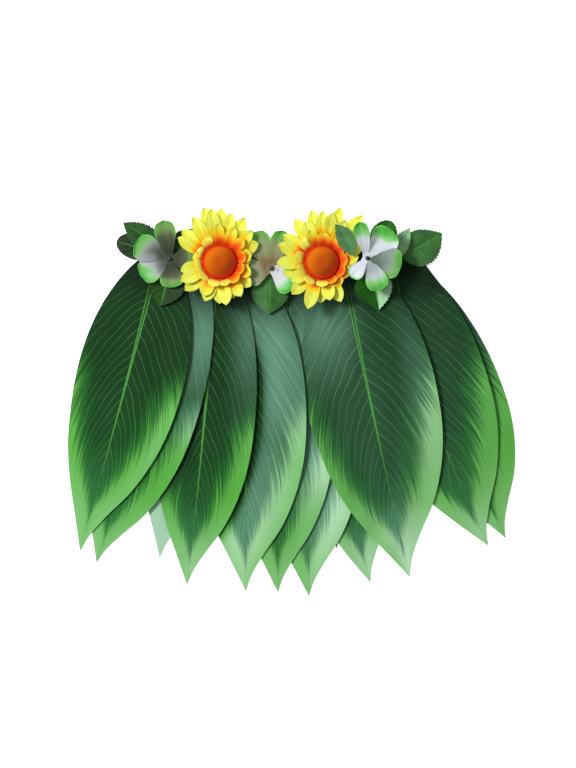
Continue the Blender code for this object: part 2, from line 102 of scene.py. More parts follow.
Leaf = namedtuple("Leaf", "name base bend tip left right arch curl_left curl_right")
BACK_LEAVES = (
    Leaf("back_leaf_1", (-0.017, 0.147), (-0.022, -0.008), (-0.030, -0.138), 0.040, 0.040, 0, 0, 0),
    Leaf("back_leaf_2", (-0.127, 0.147), (-0.162, 0.012), (-0.180, -0.098), 0.040, 0.040, 0, 0, 0),
    Leaf("back_leaf_3", (0.093, 0.147), (0.132, 0.022), (0.167, -0.098), 0.042, 0.042, 0, 0, 0),
    Leaf("back_leaf_4", (-0.087, 0.147), (-0.102, -0.008), (-0.1319, -0.1562), 0.042, 0.042, 0, 0, 0),
    Leaf("back_leaf_5", (0.018, 0.147), (0.034, -0.008), (0.0455, -0.1468), 0.040, 0.040, 0, 0, 0),
    Leaf("back_leaf_6", (-0.052, 0.147), (-0.064, -0.008), (-0.076, -0.120), 0.040, 0.040, 0, 0, 0),
    Leaf("back_leaf_7", (0.053, 0.147), (0.076, 0.002), (0.095, -0.128), 0.040, 0.040, 0, 0, 0),
)
FRONT_LEAVES = (
    Leaf("front_leaf_10", (0.0957, 0.1442), (0.1585, -0.0031), (0.2141, -0.1362), 0.0476, 0.0552,
         0.0010, 0, 0.0010),
    Leaf("front_leaf_9", (0.0975, 0.1497), (0.1241, 0.0049), (0.1968, -0.1438), 0.0563, 0.0624,
         0.0015, 0, 0.0030),
    Leaf("front_leaf_7", (0.0325, 0.1480), (0.0470, -0.0590), (0.0790, -0.1804), 0.0411, 0.0446,
         0.0010, 0, 0.0010),
    Leaf("front_leaf_6", (0.0220, 0.1470), (0.0187, -0.0430), (0.0175, -0.1946), 0.0507, 0.0522,
         0.0010, 0, 0.0025),
    Leaf("front_leaf_5", (0.0, 0.1475), (-0.0100, -0.0352), (-0.0135, -0.1908), 0.0502, 0.0518,
         0.0010, 0, 0.0025),
    Leaf("front_leaf_8", (0.0495, 0.1482), (0.0773, -0.0039), (0.1185, -0.1755), 0.0621, 0.0661,
         0.0020, 0.0020, 0.0040),
    Leaf("front_leaf_4", (-0.0523, 0.1420), (-0.0439, -0.0206), (-0.0455, -0.1895), 0.0522, 0.0601,
         0.0015, 0, 0.0030),
    Leaf("front_leaf_3", (-0.0747, 0.1460), (-0.0852, -0.0299), (-0.1045, -0.1832), 0.0466, 0.0493,
         0.0015, 0, 0.0035),
    Leaf("front_leaf_2", (-0.0992, 0.1536), (-0.1443, -0.0170), (-0.1951, -0.1608), 0.0485, 0.0504,
         0.0015, 0, 0.0035),
    Leaf("front_leaf_1", (-0.1323, 0.1485), (-0.1596, 0.0315), (-0.2115, -0.1494), 0.0501, 0.0551,
         0.0020, 0.0010, 0.0040),
)
# Front leaves whose light margin starts higher up
RIGHT_LEAVES = ("front_leaf_8", "front_leaf_9", "front_leaf_10")
# Soft patches of painted teal sheen on a leaf: share along, share across, reach along, reach across, strength
SHEEN = {
    "front_leaf_1": ((0.66, 0.92, 0.12, 0.20, 0.15),),
    "front_leaf_2": ((0.15, 0.75, 0.23, 0.55, 0.90), (0.48, 0.90, 0.07, 0.30, 0.50)),
    "front_leaf_3": ((0.12, 0.90, 0.25, 0.40, 0.62), (0.97, 0.20, 0.12, 0.90, 0.35)),
    "front_leaf_4": ((0.32, 0.40, 0.32, 1.00, 0.90), (0.70, -0.20, 0.25, 1.00, 1.00)),
    "front_leaf_5": ((0.30, 0.60, 0.30, 0.90, 1.00), (0.56, 0.75, 0.16, 0.55, 1.00)),
    "front_leaf_6": ((0.30, 0.60, 0.30, 0.90, 0.70), (0.66, 0.55, 0.25, 0.70, 1.00)),
    "front_leaf_8": ((0.10, -0.60, 0.24, 0.60, 0.95), (0.55, 0.85, 0.30, 0.35, 0.45),
                     (0.97, 0.20, 0.16, 0.90, 1.00), (0.50, 0.10, 0.50, 1.20, 0.14),
                     (0.77, 0.10, 0.10, 0.60, 0.18)),
    "front_leaf_7": ((0.92, 0.20, 0.12, 1.30, 0.60),),
    "front_leaf_9": ((0.97, 0.0, 0.10, 1.0, 0.45), (0.40, 0.00, 0.50, 1.20, 0.11)),
    "front_leaf_10": ((0.20, 0.60, 0.30, 0.60, 0.25),),
}
# Soft painted shade beside the leaf that lies on top: its name, how far the shade goes, strength
LEAF_SHADE = {
    "front_leaf_3": ("front_leaf_2", 0.0065, 0.85),
    "front_leaf_4": ("front_leaf_3", 0.0070, 0.90),
}

Sprig = namedtuple("Sprig", "name base bend tip left right drape lift rise fold")
SPRIGS = (
    Sprig("sprig_leaf_2", (-0.1310, 0.1485), (-0.1520, 0.1540), (-0.1750, 0.1608), 0.0135, 0.0130,
          1, -0.0004, 0.0020, 0.0020),
    Sprig("sprig_leaf_1", (-0.1285, 0.1520), (-0.1460, 0.1660), (-0.1680, 0.1790), 0.0115, 0.0140,
          1, 0.0028, 0.0040, 0.0020),
    Sprig("sprig_leaf_3", (-0.1150, 0.1495), (-0.1060, 0.1605), (-0.0990, 0.1730), 0.0120, 0.0120,
          1, -0.0023, 0.0010, 0.0010),
    Sprig("sprig_leaf_4", (-0.1215, 0.1350), (-0.1250, 0.1150), (-0.1310, 0.0955), 0.0180, 0.0190,
          1, -0.0004, 0.0030, 0.0040),
    Sprig("sprig_leaf_5", (-0.0205, 0.1260), (-0.0215, 0.1070), (-0.0225, 0.0875), 0.0185, 0.0185,
          1, -0.0008, 0.0030, 0.0040),
    Sprig("sprig_leaf_10", (0.0785, 0.1310), (0.0830, 0.1140), (0.0871, 0.0918), 0.0200, 0.0175,
          1, -0.0004, 0.0030, 0.0040),
    Sprig("sprig_leaf_9", (0.1090, 0.1475), (0.1300, 0.1540), (0.1500, 0.1690), 0.0200, 0.0170,
          1, -0.0006, 0.0040, 0.0020),
    Sprig("sprig_leaf_7", (0.0835, 0.1490), (0.0885, 0.1640), (0.1005, 0.1803), 0.0135, 0.0125,
          1, -0.0033, 0.0030, 0.0020),
    Sprig("sprig_leaf_6", (0.0606, 0.1455), (0.0552, 0.1630), (0.0430, 0.1757), 0.0089, 0.0088,
          0, 0.0420, 0.0060, 0.0010),
    Sprig("sprig_leaf_8", (0.0970, 0.1420), (0.1080, 0.1550), (0.1180, 0.1740), 0.0090, 0.0090,
          1, 0.0010, 0.0030, 0.0020),
)
# How pale each small leaf is. Below 0 it is darker and browner
SPRIG_TONE = {"sprig_leaf_1": -0.5, "sprig_leaf_2": -0.9, "sprig_leaf_3": -0.5,
              "sprig_leaf_6": 0.2, "sprig_leaf_8": 0.7, "sprig_leaf_9": 0.08}
# The same for the left and right half, where they differ, partly painted light and shade on the two sides of
# the fold
HALF_TONE = {"sprig_leaf_4": (-0.5, -0.8), "sprig_leaf_5": (0.15, -0.10), "sprig_leaf_10": (-0.08, 1.15)}

Petal = namedtuple("Petal", "azimuth reach half slope")
BLOSSOM_HUB = 0.0050
BLOSSOM_SEAT = 0.0045     # a flower stands on the highest ground this near its centre
BLOSSOMS = (
    ("blossom_1", (-0.1214, 0.1426), 0.0060, (
        Petal(99, 0.0388, 0.0105, 14), Petal(157, 0.0374, 0.0138, 12), Petal(210, 0.0335, 0.0125, 12),
        Petal(276, 0.0290, 0.0115, 16), Petal(-2, 0.0250, 0.0135, 18))),
    ("blossom_2", (-0.0198, 0.1331), 0.0060, (
        Petal(118, 0.0405, 0.0130, 6), Petal(72, 0.0395, 0.0100, 6), Petal(5, 0.0185, 0.0120, 26),
        Petal(-42, 0.0300, 0.0125, 14), Petal(193, 0.0255, 0.0135, 12))),
    ("blossom_3", (0.0754, 0.1428), 0.0160, (
        Petal(104, 0.0362, 0.0078, 46), Petal(48, 0.0368, 0.0145, 10), Petal(-12, 0.0345, 0.0150, 10),
        Petal(-68, 0.0345, 0.0110, 14), Petal(230, 0.0255, 0.0080, 30))),
)
# Grey of each blossom petal in the order of the table, partly print and partly painted shade: 1 grey, 0 white
# and below 0 with less green
BLOSSOM_SHADE = {"blossom_1": (1.0, 0.60, 0.35, 1.0, 1.0), "blossom_2": (0.9, 0.9, 0.2, 0.12, 0.85),
                 "blossom_3": (0.0, 0.15, 0.75, 0.4, -0.35)}

# Light, dark and centre colour, how far out the centre's colour goes, its share on light and on dark petals,
# and the azimuth along which the rim is bare of green. Dark and centre colour are partly painted shade, the
# bare streak partly a painted highlight
BLOSSOM_CLOTH = {
    "blossom_1": ((204, 208, 220), (84, 91, 68), (46, 51, 38), 0.84, 0.85, 0.95, 183),
    "blossom_2": ((198, 202, 208), (116, 124, 72), (112, 84, 56), 0.44, 0.0, 0.9, 215),
    "blossom_3": ((208, 212, 222), (86, 107, 88), (54, 70, 56), 0.70, 0.0, 1.0, 22),
}

SUNFLOWER_HUB = 0.0175
SUNFLOWER_SEAT = 0.0090
SUNFLOWER_DISC = (0.0168, 0.0062)
RED_REACH = 0.0225
OPEN_SIDE = 75
# The petals of a rosette: azimuth, reach in millimetres
Rosette = namedtuple("Rosette", "name half height open_slope closed_slope petals")
SUNFLOWERS = (
    ("sunflower_1", (-0.0714, 0.1394), 0.0110, (
        Rosette("outer", 0.0070, 0.0000, 5, 14, (
            (106, 57), (88, 54), (60, 51), (26, 43), (4, 31), (-38, 40), (-68, 39), (-90, 42),
            (-110, 42), (-140, 45), (-167, 40), (150, 48))),
        Rosette("middle", 0.0070, 0.0016, 10, 24, (
            (121, 52), (99, 54), (76, 50), (43, 45), (13, 33), (-22, 34), (-58, 41), (-81, 44),
            (-116, 38), (-153, 43), (172, 27), (140, 49))),
        Rosette("inner", 0.0060, 0.0032, 24, 62, (
            (92, 38), (66, 37), (42, 33), (12, 27), (-20, 26), (-48, 27), (-75, 25), (-105, 26),
            (-138, 25), (-170, 24), (155, 25), (122, 28))),
    )),
    ("sunflower_2", (0.0301, 0.1390), 0.0105, (
        Rosette("outer", 0.0070, 0.0000, 5, 14, (
            (122, 51), (101, 53), (71, 58), (49, 62), (22, 45), (-5, 36), (-31, 29), (-64, 44),
            (-92, 41), (-133, 44), (-162, 40), (158, 47))),
        Rosette("middle", 0.0070, 0.0016, 10, 24, (
            (89, 51), (78, 50), (60, 48), (35, 44), (8, 37), (-22, 31), (-51, 30), (-78, 39), (-107, 49),
            (-148, 36), (181, 45), (145, 47), (112, 44))),
        Rosette("inner", 0.0060, 0.0032, 24, 62, (
            (111, 34), (86, 30), (62, 28), (35, 25), (5, 26), (-25, 25), (-60, 24), (-90, 25),
            (-125, 26), (-158, 26), (168, 28), (132, 31))),
    )),
)

FLOOR_HALF = 3.0
FLOOR_GAP = 0.0003
PAPER_GLOW = 0.75
WORLD_LIGHT = 0.33
SENSOR = 36
CAMERA_DISTANCE = 4.0
PICTURE_HEIGHT = 0.768    # what the picture shows of the table, from top to bottom
PICTURE_CENTRE = (-0.0035, 0.018)


# Plan curves and shares

def smooth(rows, u):
    x, y = np.array(rows, float).T
    slope = np.gradient(y, x)
    i = np.clip(np.searchsorted(x, u, side="right") - 1, 0, len(x) - 2)
    step = x[i + 1] - x[i]
    t = (u - x[i]) / step
    start = (2 * t**3 - 3 * t**2 + 1) * y[i] + (t**3 - 2 * t**2 + t) * step * slope[i]
    end = (3 * t**2 - 2 * t**3) * y[i + 1] + (t**3 - t**2) * step * slope[i + 1]
    return np.clip(start + end, 0, None)


def midrib(leaf, u):
    base, bend, tip = (np.array(p) for p in (leaf.base, leaf.bend, leaf.tip))
    u = np.asarray(u, float)[..., None]
    points = (1 - u) ** 2 * base + 2 * u * (1 - u) * bend + u**2 * tip
    along = 2 * ((1 - u) * (bend - base) + u * (tip - bend))
    speed = np.linalg.norm(along, axis=-1, keepdims=True)
    along = along / speed
    return points, np.stack([-along[..., 1], along[..., 0]], axis=-1), along, speed[..., 0]


def half_width(leaf, profile, u, s):
    left, right = (smooth(edge, u) for edge in profile)
    return np.where(s < 0, left * leaf.left, right * leaf.right)


def leaf_plan(leaf, profile, u, s, tooth=0):
    points, right, _, _ = midrib(leaf, u)
    return points + right * (s * (half_width(leaf, profile, u, s) + tooth))[..., None]


def locate(leaf, profile, plan):
    """(u, s, distance outside the leaf) of plan points."""
    samples = np.linspace(0, 1, SPINE_SAMPLES)
    line, right, along, speed = midrib(leaf, samples)
    away = plan[:, None, :] - line[None, :, :]
    nearest = np.argmin((away**2).sum(axis=2), axis=1)
    away = away[np.arange(len(plan)), nearest]
    ahead = (away * along[nearest]).sum(axis=1)
    u = np.clip(samples[nearest] + ahead / speed[nearest], 0, 1)
    line, right, along, _ = midrib(leaf, u)
    away = plan - line
    side = (away * right).sum(axis=1)
    half = half_width(leaf, profile, u, side)
    past_edge = np.clip(np.abs(side) - half, 0, None)
    past_end = np.where((u <= 0) | (u >= 1), np.abs((away * along).sum(axis=1)), 0)
    return u, np.clip(side / np.maximum(half, 1e-4), -1, 1), np.hypot(past_edge, past_end)


# How layers rest on each other

def fall(distance):
    return 0.5 + 0.5 * np.cos(np.pi * np.clip((distance - EDGE_SHELF) / FALL_REACH, 0, 1))


def own_height(leaf, u, s):
    along = np.sin(np.pi * np.clip(u, 0, 1)) ** 2
    edge = np.where(s < 0, leaf.curl_left, leaf.curl_right) * np.abs(s) ** 3
    return (leaf.arch * (1 - s**2) + edge) * along


def leaf_step(leaf, plan):
    u, s, outside = locate(leaf, LEAF_PROFILE, plan)
    return (LAYER_STEP + own_height(leaf, u, s)) * fall(outside)


def band_line(x):
    return BAND_Y - BAND_SAG * ((x - BAND_X) / BAND_HALF_LENGTH) ** 2


def band_step(plan):
    past_end = np.clip(np.abs(plan[:, 0] - BAND_X) - BAND_HALF_LENGTH, 0, None)
    past_edge = np.clip(np.abs(plan[:, 1] - band_line(plan[:, 0])) - BAND_HALF_WIDTH, 0, None)
    height = 2 * BAND_WALL + BAND_SLOT + LAYER_STEP - LEAF_WALL + BAND_EASE
    return height * fall(np.hypot(past_end, past_edge))


def rest_height(plan, leaves, over_band):
    shape = plan.shape[:-1]
    flat = plan.reshape(-1, 2)
    height = sum((leaf_step(leaf, flat) for leaf in leaves), np.zeros(len(flat)))
    if over_band:
        height = height + band_step(flat)
    return height.reshape(shape)


def seat_height(centre, reach):
    turn = np.linspace(0, 2 * np.pi, 25)[:-1]
    ring = np.column_stack([np.cos(turn), np.sin(turn)])
    plan = np.array(centre) + np.vstack([ring * reach, ring * reach / 2, [(0, 0)]])
    return float(rest_height(plan, BACK_LEAVES + FRONT_LEAVES, True).max())


# Node materials

def rgb(r, g, b):
    """A colour as seen on a screen, 0 to 255, in the linear values that the shaders take."""
    linear = (c / 255 / 12.92 if c <= 10 else ((c / 255 + 0.055) / 1.055) ** 2.4 for c in (r, g, b))
    return (*linear, 1)


class Shade:
    """A material and short calls for its nodes. Each call returns an output socket."""

    def __init__(self, name, roughness=0.6, **sockets):
        self.mat = bpy.data.materials.new(name)
        self.mat.use_nodes = True
        self.tree = self.mat.node_tree
        self.shader = self.tree.nodes["Principled BSDF"]
        self.shader.inputs["Roughness"].default_value = roughness
        for key, value in sockets.items():
            self.shader.inputs[key.replace("_", " ")].default_value = value

    def feed(self, socket, value):
        if isinstance(value, bpy.types.NodeSocket):
            self.tree.links.new(value, socket)
        else:
            socket.default_value = value

    def node(self, kind, inputs=(), **props):
        made = self.tree.nodes.new("ShaderNode" + kind)
        for key, value in props.items():
            setattr(made, key, value)
        for key, value in dict(inputs).items():
            self.feed(made.inputs[key], value)
        return made

    def math(self, operation, a, b=0.0, clamp=False):
        return self.node("Math", {0: a, 1: b}, operation=operation, use_clamp=clamp).outputs[0]

    def times(self, a, b, clamp=False):
        return self.math("MULTIPLY", a, b, clamp)

    def plus(self, a, b, clamp=False):
        return self.math("ADD", a, b, clamp)

    def minus(self, a, b):
        return self.math("SUBTRACT", a, b)

    def from_middle(self, across):
        """0 on the midline and 1 on either edge."""
        return self.math("ABSOLUTE", self.minus(self.times(across, 2.0), 1.0))

    def step(self, value, low, high):
        """0 below low and 1 above high, smoothly."""
        made = self.node("MapRange", {"Value": value, "From Min": low, "From Max": high},
                         interpolation_type="SMOOTHSTEP")
        return made.outputs["Result"]

    def mix(self, share, a, b):
        made = self.node("Mix", data_type="RGBA")
        self.feed(made.inputs[0], share)
        self.feed(made.inputs[6], a)
        self.feed(made.inputs[7], b)
        return made.outputs[2]

    def ramp(self, value, *stops):
        made = self.node("ValToRGB", {0: value})
        ends = made.color_ramp.elements
        while len(ends) < len(stops):
            ends.new(0.5)
        for end, (at, colour) in zip(ends, stops):
            end.position = at
            end.color = colour
        return made.outputs[0]

    def levels(self, value, *stops):
        """A number that follows the stops, which lie between -0.2 and 1.2."""
        made = self.ramp(value, *((at, ((level + 0.2) / 1.4,) * 3 + (1,)) for at, level in stops))
        return self.minus(self.times(made, 1.4), 0.2)

    def uv(self, name):
        """(x, y) of a UV map."""
        made = self.node("SeparateXYZ", {0: self.node("UVMap", uv_map=name).outputs[0]})
        return made.outputs[0], made.outputs[1]

    def tone(self, name="tone"):
        return self.node("Attribute", attribute_name=name).outputs["Fac"]

    def noise(self, x, y, across, along, detail=2.0, seed=0.0):
        """A number from 0 to 1, with across and along cells for each unit of x and y."""
        sides = {0: self.times(x, across), 1: self.times(y, along), 2: seed}
        place = self.node("CombineXYZ", sides).outputs[0]
        return self.node("TexNoise", {"Vector": place, "Scale": 1.0, "Detail": detail}).outputs[0]

    def weave(self, pitch):
        """Crossing threads, from the metric UV map, in metres."""
        x, y = self.uv("cloth")
        warp = self.math("SINE", self.times(x, 2 * math.pi / pitch))
        weft = self.math("SINE", self.times(y, 2 * math.pi / pitch))
        return self.times(warp, weft)

    def finish(self, colour, height=None, depth=0.0002, strength=0.4):
        self.feed(self.shader.inputs["Base Color"], colour)
        if height is not None:
            bump = self.node("Bump", {"Strength": strength, "Distance": depth, "Height": height})
            self.feed(self.shader.inputs["Normal"], bump.outputs[0])
        return self.mat


def leaf_print(name, start, pale_side=False):
    """Dark middle, fine arching veins, a double midrib and a light margin from start down, with painted teal
    sheen, painted shade beside the leaf on top and painted shade under the flowers.
    """
    m = Shade(name, roughness=0.62, Specular_IOR_Level=0.06)
    across, t = m.uv("leaf")
    cx, cy = m.uv("cloth")
    signed = m.minus(m.times(across, 2.0), 1.0)
    a = m.math("ABSOLUTE", signed)
    on_right = m.math("GREATER_THAN", signed, 0.0)
    arc = m.plus(m.times(a, 0.38), m.times(m.math("POWER", a, 2.0), 0.62))
    v = m.math("DIVIDE", m.minus(t, m.times(arc, 0.16)), m.plus(m.times(arc, 0.75), 1.0))
    wobble = m.noise(cx, cy, 18, 18, 1.0, 3.0)
    uneven = m.noise(v, on_right, 19, 5, 0.0, 11.0)
    count = m.plus(m.times(v, 25.0), m.times(wobble, 1.5))
    count = m.plus(count, m.times(uneven, 0.5))
    count = m.plus(count, m.times(on_right, 0.45))
    off = m.math("ABSOLUTE", m.minus(m.math("FRACT", count), 0.5))
    vein = m.minus(1.0, m.step(off, 0.009, 0.050))
    streak = m.noise(v, m.plus(a, cy), 210, 2.2, 2.0, 7.0)
    broad = m.noise(v, m.plus(a, cy), 60, 2.0, 2.0, 2.0)
    speck = m.noise(cx, cy, 900, 900, 2.0, 1.0)
    cloud = m.noise(cx, cy, 26, 26, 2.0, 5.0)

    # Light margin, wider on the right, that closes over the tip
    left = m.levels(t, (0.0, 1.15), (0.42, 1.12), (0.52, 0.94), (0.60, 0.86), (0.68, 0.76), (0.76, 0.62),
                    (0.82, 0.44), (0.88, 0.20), (0.92, 0.00), (0.96, -0.2))
    right = m.levels(t, (0.0, 1.15), (0.38, 1.12), (0.45, 0.93), (0.52, 0.78), (0.60, 0.66), (0.69, 0.55),
                     (0.77, 0.42), (0.84, 0.22), (0.89, 0.00), (0.95, -0.2))
    limit = m.plus(m.times(left, m.minus(1.0, on_right)), m.times(right, on_right))
    reach = m.plus(a, m.times(m.minus(streak, 0.5), 0.75))
    reach = m.plus(reach, m.times(m.minus(broad, 0.5), 0.55))
    edge = m.minus(reach, limit)
    light = m.times(m.step(edge, -0.17, 0.20), m.step(t, start, start + 0.17))
    deep = m.mix(m.times(cloud, 0.7), rgb(5, 36, 9), rgb(14, 59, 19))
    deep = m.mix(m.times(m.step(t, 0.35, 0.80), 0.5), deep, rgb(14, 70, 30))
    deep = m.mix(m.times(m.step(t, 0.66, 0.90), 0.6), deep, rgb(44, 108, 58))
    fan = m.times(m.step(streak, 0.50, 0.72), m.step(t, 0.55, 0.85))
    deep = m.mix(m.times(fan, 0.55), deep, rgb(70, 136, 62))
    margin = m.mix(m.plus(streak, m.times(cloud, 0.2)), rgb(42, 121, 28), rgb(92, 167, 71))
    pale = m.step(m.plus(t, m.times(a, 0.06)), 0.74, 1.04)
    margin = m.mix(pale, margin, rgb(114, 173, 104))
    colour = m.mix(light, deep, margin)
    halo = m.minus(m.step(t, start - 0.05, start + 0.15), light)
    halo = m.times(m.step(edge, -0.34, -0.06), halo)
    colour = m.mix(m.times(halo, m.times(streak, 1.1, True)), colour, rgb(26, 100, 30))

    # Painted teal sheen, where the cloth turns to the light
    sheen = m.times(m.tone(), m.plus(0.75, m.times(streak, 0.5)), True)
    sheen_colour = m.mix(light, m.mix(broad, rgb(68, 123, 95), rgb(114, 157, 137)), rgb(176, 212, 178))
    colour = m.mix(m.times(sheen, 0.85), colour, sheen_colour)

    # Painted shade beside the edge of the leaf that lies on top, where the tone is below 0
    shaded = m.math("MAXIMUM", m.times(m.tone(), -1.0), 0.0)
    colour = m.mix(m.times(shaded, 0.9), colour, rgb(12, 24, 16))

    # Veins, fainter towards the edge and on the light margin
    shown = m.times(vein, m.minus(1.0, m.times(light, 0.75)))
    shown = m.times(shown, m.minus(1.0, m.times(a, 0.45)))
    shown = m.times(shown, m.plus(0.15, m.times(cloud, 1.7)))
    shown = m.times(shown, 0.46, True)
    colour = m.mix(shown, colour, m.mix(sheen, rgb(84, 148, 78), rgb(146, 186, 164)))

    # Midrib: two light lines that join towards the tip
    metric = m.math("ABSOLUTE", cx)
    spread = m.times(m.math("MAXIMUM", m.minus(0.60, t), 0.0), 0.0040)
    line = m.math("ABSOLUTE", m.minus(metric, spread))
    fading = m.minus(1.0, m.times(m.step(t, 0.55, 0.88), 0.9))
    rib = m.times(m.minus(1.0, m.step(line, 0.00035, 0.00085)), fading)
    groove = m.minus(1.0, m.step(metric, 0.0008, 0.0016))
    colour = m.mix(m.times(groove, m.times(fading, 0.5)), colour, rgb(30, 90, 32))
    colour = m.mix(m.times(rib, 0.62), colour, rgb(82, 152, 68))

    # Painted shade under the flowers, and the threads' own variation
    colour = m.mix(m.minus(1.0, m.step(t, 0.04, 0.27)), colour, rgb(8, 24, 11))
    speck = m.times(m.minus(speck, 0.45), 0.12, True)
    colour = m.mix(speck, colour, rgb(130, 180, 130))
    height = m.plus(m.times(m.weave(LEAF_THREAD), 0.5), m.times(vein, -0.8))
    height = m.plus(height, m.times(rib, 2.0))
    if pale_side:    # the print only shows through
        colour = m.mix(0.85, colour, rgb(152, 186, 164))
    return m.finish(colour, height, depth=0.00018, strength=0.4)


def sunflower_petal(name, redden, closed_painted_light):
    """Yellow cloth, red round the button, with painted shade in patches and along the petal edges.

    The red reaches further on the open side, where the tone is high. Where it is low, on the closed side,
    painted light makes the petals paler, most on the inner ring.
    """
    m = Shade(name, roughness=0.6, Specular_IOR_Level=0.15, Subsurface_Weight=0.45, Subsurface_Scale=0.003)
    m.shader.inputs["Subsurface Radius"].default_value = (0.8, 0.8, 0.3)
    across, u = m.uv("leaf")
    cx, cy = m.uv("cloth")
    s = m.from_middle(across)
    streak = m.noise(across, m.plus(u, m.times(cx, 90)), 8, 1.2, 2.0, 2.0)
    patch = m.noise(cx, cy, 70, 70, 1.0, 4.0)
    radius = m.math("SQRT", m.plus(m.times(cx, cx), m.times(cy, cy)))
    at = m.math("DIVIDE", m.minus(radius, SUNFLOWER_HUB), RED_REACH)
    at = m.plus(at, m.times(m.minus(streak, 0.5), 0.40))
    at = m.plus(at, m.times(m.minus(patch, 0.5), 0.55))
    at = m.minus(at, m.times(m.tone(), redden))
    at = m.plus(at, m.plus(m.times(s, 0.16), m.times(u, 0.20)))
    colour = m.ramp(at, (0.0, rgb(206, 36, 4)), (0.26, rgb(226, 80, 10)), (0.46, rgb(236, 140, 18)),
                    (0.62, rgb(232, 184, 28)), (0.80, rgb(214, 206, 54)), (1.0, rgb(206, 214, 86)))
    # Patches of painted shade on the yellow, placed at random
    patchy_shade = m.times(m.step(m.noise(cx, cy, 48, 48, 2.0, 9.0), 0.45, 0.75), 0.6)
    colour = m.mix(m.times(patchy_shade, m.step(at, 0.6, 0.9)), colour, rgb(190, 176, 42))
    # Painted shade along the petal edges, where the petals meet
    colour = m.mix(m.times(m.step(s, 0.70, 1.0), 0.35), colour, rgb(190, 168, 36))
    # Painted light on the closed side, where the petals face away from the lamp: they turn paler yellow
    closed = m.times(m.step(m.times(m.tone(), -1.0), -0.1, 0.45), closed_painted_light)
    colour = m.mix(m.times(closed, m.step(u, 0.05, 0.45)), colour, rgb(242, 248, 100))
    height = m.plus(m.times(m.math("SINE", m.times(across, 19.0)), 0.8), m.times(m.weave(PETAL_THREAD), 0.35))
    return m.finish(colour, height, depth=0.0002, strength=0.35)


def blossom_petal(name, light, dark, centre, reach, low, high, bare):
    """White to grey cloth with a green rim, that is bare along one azimuth, and a darker centre. The grey and
    the centre are partly painted shade, and the bare streak partly a painted highlight.
    """
    m = Shade(name, roughness=0.6, Specular_IOR_Level=0.12, Subsurface_Weight=0.25, Subsurface_Scale=0.002)
    m.shader.inputs["Subsurface Radius"].default_value = (0.6, 0.8, 0.6)
    across, u = m.uv("leaf")
    cx, cy = m.uv("cloth")
    s = m.from_middle(across)
    streak = m.noise(across, u, 12, 1.5, 2.0, 2.0)
    patch = m.noise(cx, cy, 60, 60, 1.0, 8.0)
    at = m.plus(u, m.times(m.minus(streak, 0.5), 0.08))
    at = m.plus(at, m.times(m.minus(patch, 0.5), 0.45))
    at = m.plus(at, m.times(m.math("POWER", s, 3.0), 0.14))
    # A whiter streak along the bare azimuth, partly a painted highlight
    ahead, side = math.cos(math.radians(bare)), math.sin(math.radians(bare))
    out = m.plus(m.times(cx, ahead), m.times(cy, side))
    off = m.math("ABSOLUTE", m.minus(m.times(cy, ahead), m.times(cx, side)))
    line = m.times(m.step(out, 0.008, 0.018), m.minus(1.0, m.step(off, 0.001, 0.009)))
    # The darker centre, partly painted shade in the cup
    near = m.minus(1.0, m.step(at, 0.12, reach))
    near = m.times(near, m.minus(1.0, m.times(line, 0.5)))
    at = m.minus(at, m.times(line, 0.34))
    at = m.plus(at, m.math("MINIMUM", m.tone(), 0.0))
    at = m.minus(at, m.times(m.math("MAXIMUM", m.tone(), 0.0), 0.12))
    # Petals grey with the tone, partly painted shade
    share = m.plus(low, m.times(m.tone(), high - low), True)
    colour = m.mix(m.times(near, share), m.mix(m.tone(), rgb(*light), rgb(*dark)), rgb(*centre))
    mint = m.mix(m.tone(), rgb(134, 198, 128), rgb(104, 134, 74))
    green = m.mix(m.times(m.tone(), 0.6), rgb(74, 162, 60), rgb(70, 128, 46))
    colour = m.mix(m.step(at, 0.42, 0.68), colour, mint)
    colour = m.mix(m.step(at, 0.58, 0.90), colour, green)
    rim = m.times(m.minus(1.0, line), m.step(u, 0.30, 0.75))
    colour = m.mix(m.times(m.step(s, 0.86, 1.0), rim), colour, rgb(106, 188, 92))
    height = m.plus(m.times(m.math("SINE", m.times(across, 26.0)), 0.4), m.times(m.weave(PETAL_THREAD), 0.3))
    return m.finish(colour, height, depth=0.0002, strength=0.25)


def sprig_surface(name):
    """The small green leaf. A high tone is pale, one below 0 dark and brownish."""
    m = Shade(name, roughness=0.5, Specular_IOR_Level=0.10)
    across, u = m.uv("leaf")
    cx, cy = m.uv("cloth")
    a = m.from_middle(across)
    count = m.plus(m.times(m.minus(u, m.times(a, 0.30)), 7.0), 0.2)
    off = m.math("ABSOLUTE", m.minus(m.math("FRACT", count), 0.5))
    vein = m.minus(1.0, m.step(off, 0.02, 0.14))
    rib = m.minus(1.0, m.step(a, 0.01, 0.07))
    cloud = m.noise(cx, cy, 110, 110, 2.0, 3.0)
    colour = m.mix(cloud, rgb(8, 47, 6), rgb(40, 106, 22))
    colour = m.mix(m.times(m.step(a, 0.55, 1.0), 0.5), colour, rgb(16, 52, 18))
    share = m.times(m.tone(), m.plus(0.45, m.times(cloud, 1.0)), True)
    colour = m.mix(share, colour, rgb(150, 198, 152))
    colour = m.mix(m.math("MAXIMUM", m.times(m.tone(), -1.0), 0.0), colour, rgb(16, 28, 6))
    colour = m.mix(m.times(vein, 0.12), colour, rgb(72, 134, 64))
    colour = m.mix(m.times(rib, 0.35), colour, rgb(96, 158, 84))
    height = m.plus(m.times(vein, -1.0), m.times(cloud, 0.8))
    height = m.minus(height, rib)
    return m.finish(colour, height, depth=0.0004, strength=0.4)


